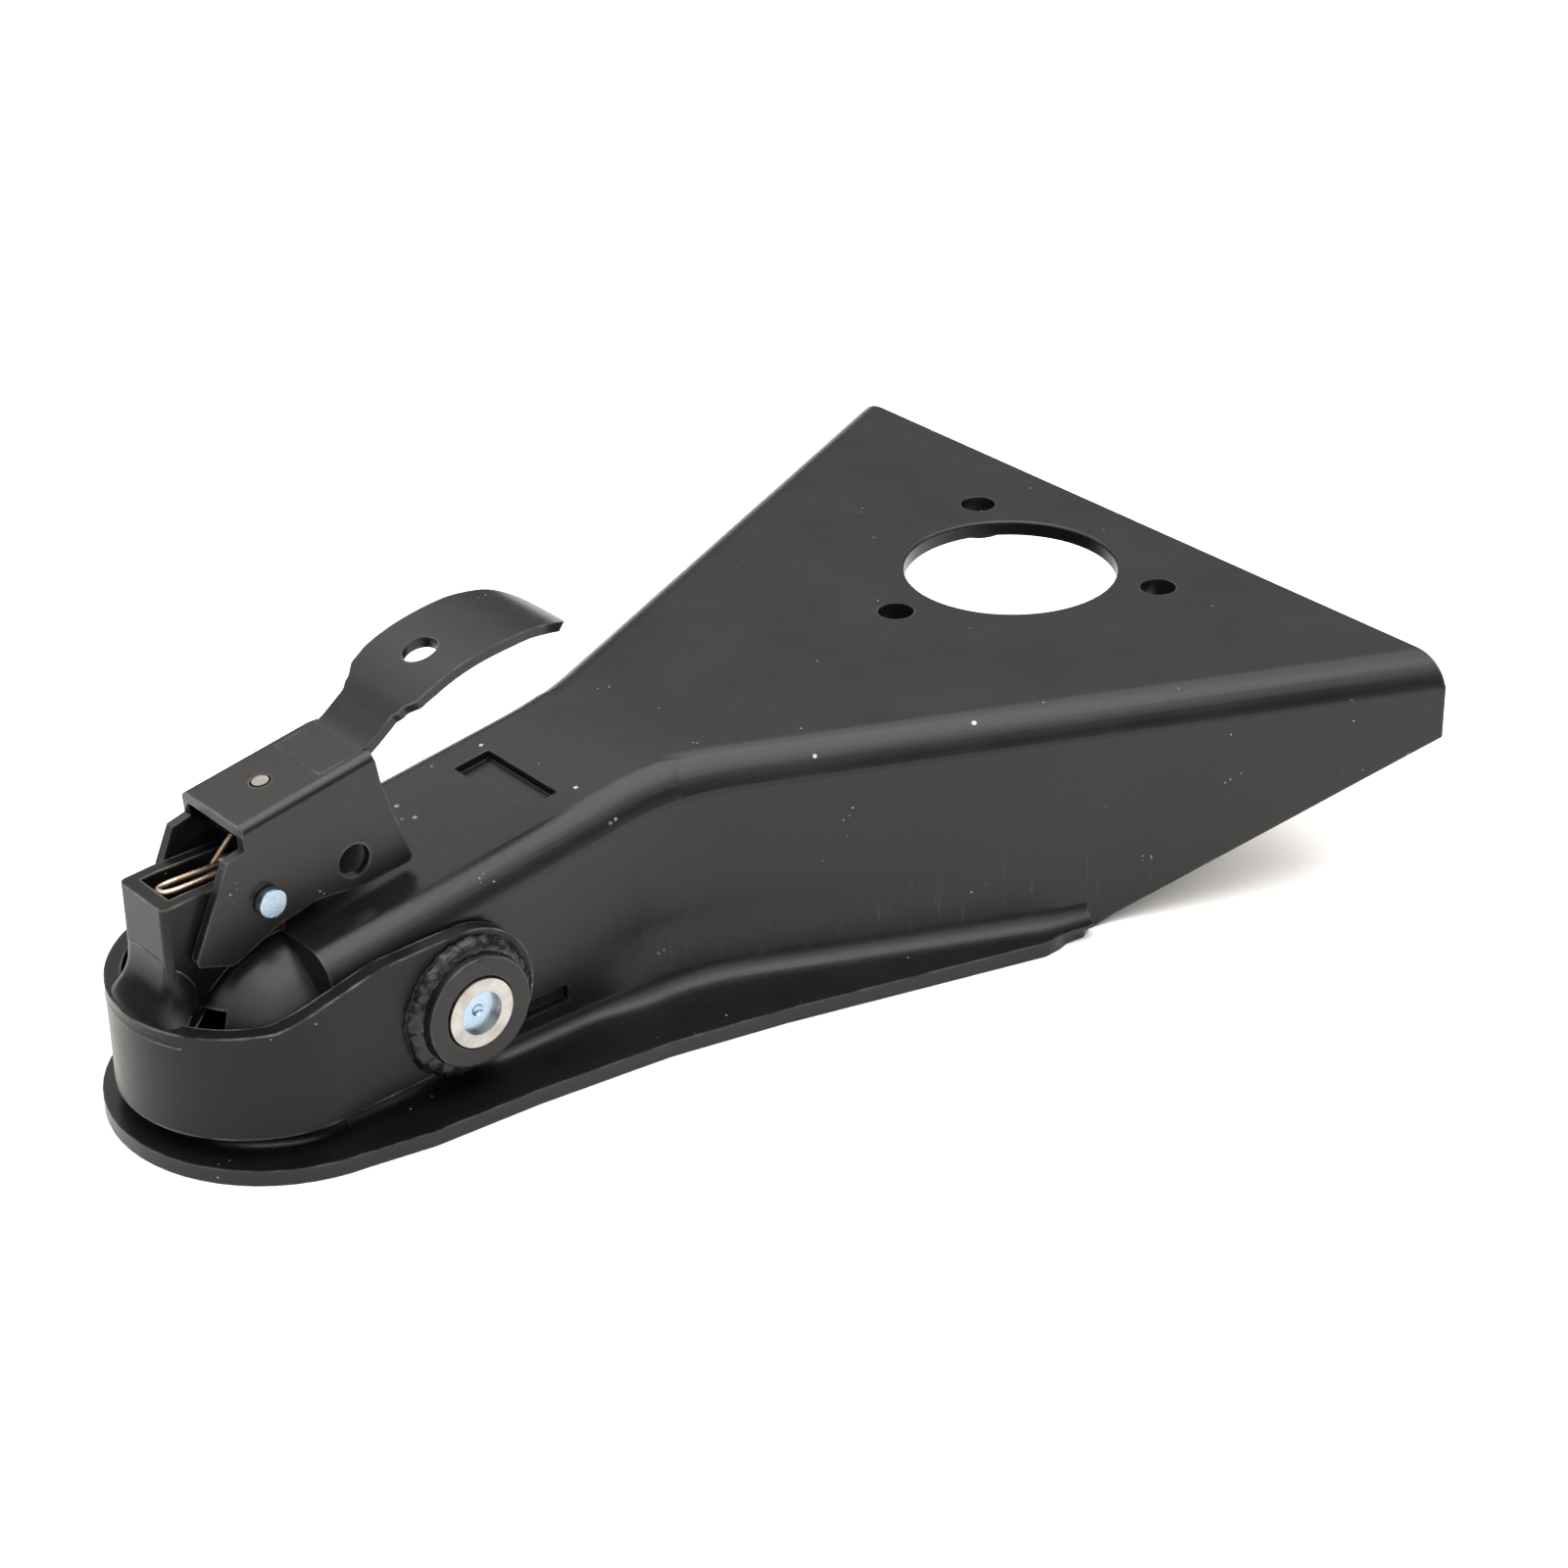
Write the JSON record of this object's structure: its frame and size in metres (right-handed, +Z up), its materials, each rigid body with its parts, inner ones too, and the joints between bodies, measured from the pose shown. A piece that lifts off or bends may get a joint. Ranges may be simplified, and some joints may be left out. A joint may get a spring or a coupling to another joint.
{
  "type": "a-frame trailer coupler",
  "caption": "Pressed steel A-frame trailer coupler with a ball socket, a hinged yoke latch with a sprung lever, and a round jack tube hole with a three-bolt circle",
  "frame": {"origin": "centre of the jack tube hole in the face of the top plate", "axes": "+X forward to the towing vehicle, +Y left, +Z up"},
  "size_m": [0.3792, 0.268, 0.1218],
  "materials": {
    "black_paint": "semi-gloss black paint on pressed steel",
    "bare_steel": "bare machined steel",
    "zinc_plate": "clear bluish zinc plating",
    "spring_wire": "drawn spring wire, brownish"
  },
  "bodies": {
    "frame": {"channel": "black_paint", "rear_jaw_plate": "black_paint", "pivot_pin": "zinc_plate", "pivot_spacer": "zinc_plate", "pivot_bushing_left": "bare_steel", "pivot_bushing_right": "bare_steel", "pivot_washer_left": "zinc_plate", "pivot_washer_right": "zinc_plate"},
    "yoke": {"yoke": "black_paint", "ball_jaw": "bare_steel", "boss_left": "black_paint", "boss_right": "black_paint", "boss_weld_left": "black_paint", "boss_weld_right": "black_paint", "lever_pin": "zinc_plate", "lever_pin_cap": "zinc_plate", "spring_sleeve": "bare_steel", "torsion_spring": "spring_wire"},
    "lever": {"lever": "black_paint", "hold_down_plate": "bare_steel", "lever_rivet": "zinc_plate"}
  },
  "joints": [
    {"name": "yoke_hinge", "type": "hinge", "parent": "frame", "child": "yoke", "pos_m": [0.2404, 0, -0.042], "axis": [0, -1, 0], "range_deg": [0, 25]},
    {"name": "lever_hinge", "type": "hinge", "parent": "yoke", "child": "lever", "pos_m": [0.285, 0, -0.003], "axis": [0, 1, 0], "range_deg": [0, 50], "deforming": ["torsion_spring"]}
  ],
  "couplings": [
    {"joint": "lever_hinge", "follows": "yoke_hinge", "ratio": 2}
  ]
}
